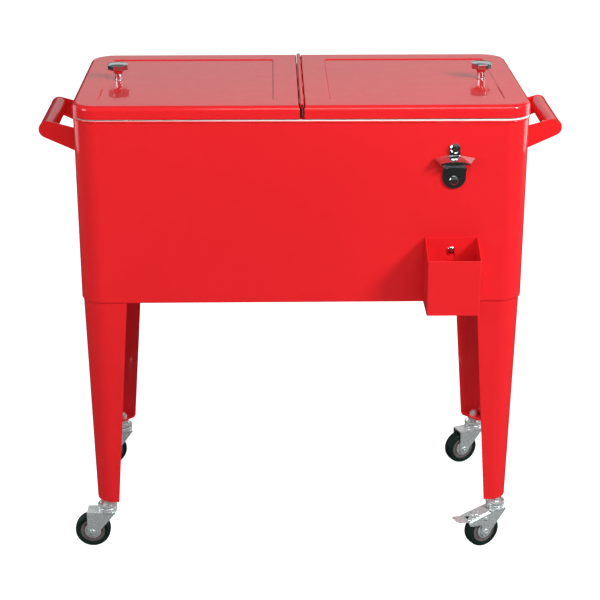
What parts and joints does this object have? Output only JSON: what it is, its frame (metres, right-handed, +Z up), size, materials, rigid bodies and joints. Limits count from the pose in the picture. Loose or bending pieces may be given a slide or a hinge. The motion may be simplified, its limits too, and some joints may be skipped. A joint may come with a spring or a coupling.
{
  "type": "rolling cooler chest",
  "caption": "Insulated rolling drinks cooler on four caster legs, with two lids hinged along the middle, side handles, a wall bottle opener and a hanging cap catcher.",
  "frame": {"origin": "on the floor under the middle of the whole object's box", "axes": "+X along the chest to the right as seen from the front, -Y to the front where the bottle opener is, +Z up"},
  "size_m": [0.871, 0.4478, 0.83],
  "materials": {
    "red_paint": "gloss",
    "chrome": "polished",
    "zinc": "satin",
    "dark_steel": "satin",
    "white_plastic": "satin",
    "foam": "matte",
    "grey_plastic": "satin",
    "black_rubber": "matte"
  },
  "bodies": {
    "chest": {"outer_shell": "red_paint", "bottom_pan": "zinc", "insulation_foam": "foam", "liner_tub": "white_plastic", "hinge_crossbar": "red_paint", "crossbar_screws": "zinc", "hinge_pin": "dark_steel", "handle_left_arms": "red_paint", "handle_left_bar": "red_paint", "handle_right_arms": "red_paint", "handle_right_bar": "red_paint", "handle_screws": "chrome", "leg_front_left": "red_paint", "leg_front_right": "red_paint", "leg_rear_left": "red_paint", "leg_rear_right": "red_paint", "leg_bolts": "zinc", "bottle_opener": "chrome", "opener_screws": "chrome", "catcher_screw": "chrome", "drain_fitting": "white_plastic", "drain_nut": "white_plastic", "caster_stems": "zinc", "caster_raceways": "zinc", "caster_nuts": "zinc"},
    "lid_left": {"lid_left_skin": "red_paint", "lid_left_pan": "white_plastic", "lid_left_foam": "foam", "lid_left_hinge": "red_paint", "knob_left": "chrome", "knob_left_screw": "zinc"},
    "lid_right": {"lid_right_skin": "red_paint", "lid_right_pan": "white_plastic", "lid_right_foam": "foam", "lid_right_hinge": "red_paint", "knob_right": "chrome", "knob_right_screw": "zinc"},
    "catcher": {"cap_catcher": "red_paint"},
    "drain_plug": {"drain_cap": "white_plastic"},
    "caster_front_left": {"fork_front_left": "zinc", "axle_front_left": "zinc"},
    "wheel_front_left": {"tyre_front_left": "black_rubber", "hub_front_left": "grey_plastic"},
    "caster_front_right": {"fork_front_right": "zinc", "axle_front_right": "zinc"},
    "wheel_front_right": {"tyre_front_right": "black_rubber", "hub_front_right": "grey_plastic"},
    "pedal_front_right": {"brake_front_right": "zinc"},
    "caster_rear_left": {"fork_rear_left": "zinc", "axle_rear_left": "zinc"},
    "wheel_rear_left": {"tyre_rear_left": "black_rubber", "hub_rear_left": "grey_plastic"},
    "caster_rear_right": {"fork_rear_right": "zinc", "axle_rear_right": "zinc"},
    "wheel_rear_right": {"tyre_rear_right": "black_rubber", "hub_rear_right": "grey_plastic"}
  },
  "joints": [
    {"name": "lid_left_hinge", "type": "hinge", "parent": "chest", "child": "lid_left", "pos_m": [0, 0.03095, 0.8013], "axis": [0, 1, 0], "range_deg": [0, 82]},
    {"name": "lid_right_hinge", "type": "hinge", "parent": "chest", "child": "lid_right", "pos_m": [0, 0.03095, 0.8013], "axis": [0, -1, 0], "range_deg": [0, 82]},
    {"name": "catcher_lift", "type": "slide", "parent": "chest", "child": "catcher", "axis": [0, 0, 1], "range_m": [0, 0.0096]},
    {"name": "drain_cap_pull", "type": "slide", "parent": "chest", "child": "drain_plug", "axis": [0, 0, -1], "range_m": [0, 0.014]},
    {"name": "swivel_front_left", "type": "hinge", "parent": "chest", "child": "caster_front_left", "pos_m": [-0.342, -0.13205, 0.075], "axis": [0, 0, 1], "continuous": true},
    {"name": "spin_front_left", "type": "hinge", "parent": "caster_front_left", "child": "wheel_front_left", "pos_m": [-0.369, -0.13205, 0.031], "axis": [0, 1, 0], "continuous": true},
    {"name": "swivel_front_right", "type": "hinge", "parent": "chest", "child": "caster_front_right", "pos_m": [0.342, -0.13205, 0.075], "axis": [0, 0, 1], "continuous": true},
    {"name": "spin_front_right", "type": "hinge", "parent": "caster_front_right", "child": "wheel_front_right", "pos_m": [0.31794, -0.14431, 0.031], "axis": [-0.454, 0.891, 0], "continuous": true},
    {"name": "press_front_right", "type": "hinge", "parent": "caster_front_right", "child": "pedal_front_right", "pos_m": [0.31794, -0.14431, 0.057], "axis": [0.454, -0.891, 0], "range_deg": [0, 7], "stiffness_Nm_per_rad": 0.8, "springref_deg": -17.19},
    {"name": "swivel_rear_left", "type": "hinge", "parent": "chest", "child": "caster_rear_left", "pos_m": [-0.342, 0.19395, 0.075], "axis": [0, 0, 1], "continuous": true},
    {"name": "spin_rear_left", "type": "hinge", "parent": "caster_rear_left", "child": "wheel_rear_left", "pos_m": [-0.36737, 0.18471, 0.031], "axis": [-0.342, 0.9397, 0], "continuous": true},
    {"name": "swivel_rear_right", "type": "hinge", "parent": "chest", "child": "caster_rear_right", "pos_m": [0.342, 0.19395, 0.075], "axis": [0, 0, 1], "continuous": true},
    {"name": "spin_rear_right", "type": "hinge", "parent": "caster_rear_right", "child": "wheel_rear_right", "pos_m": [0.31733, 0.18297, 0.031], "axis": [-0.4067, 0.9135, 0], "continuous": true}
  ]
}
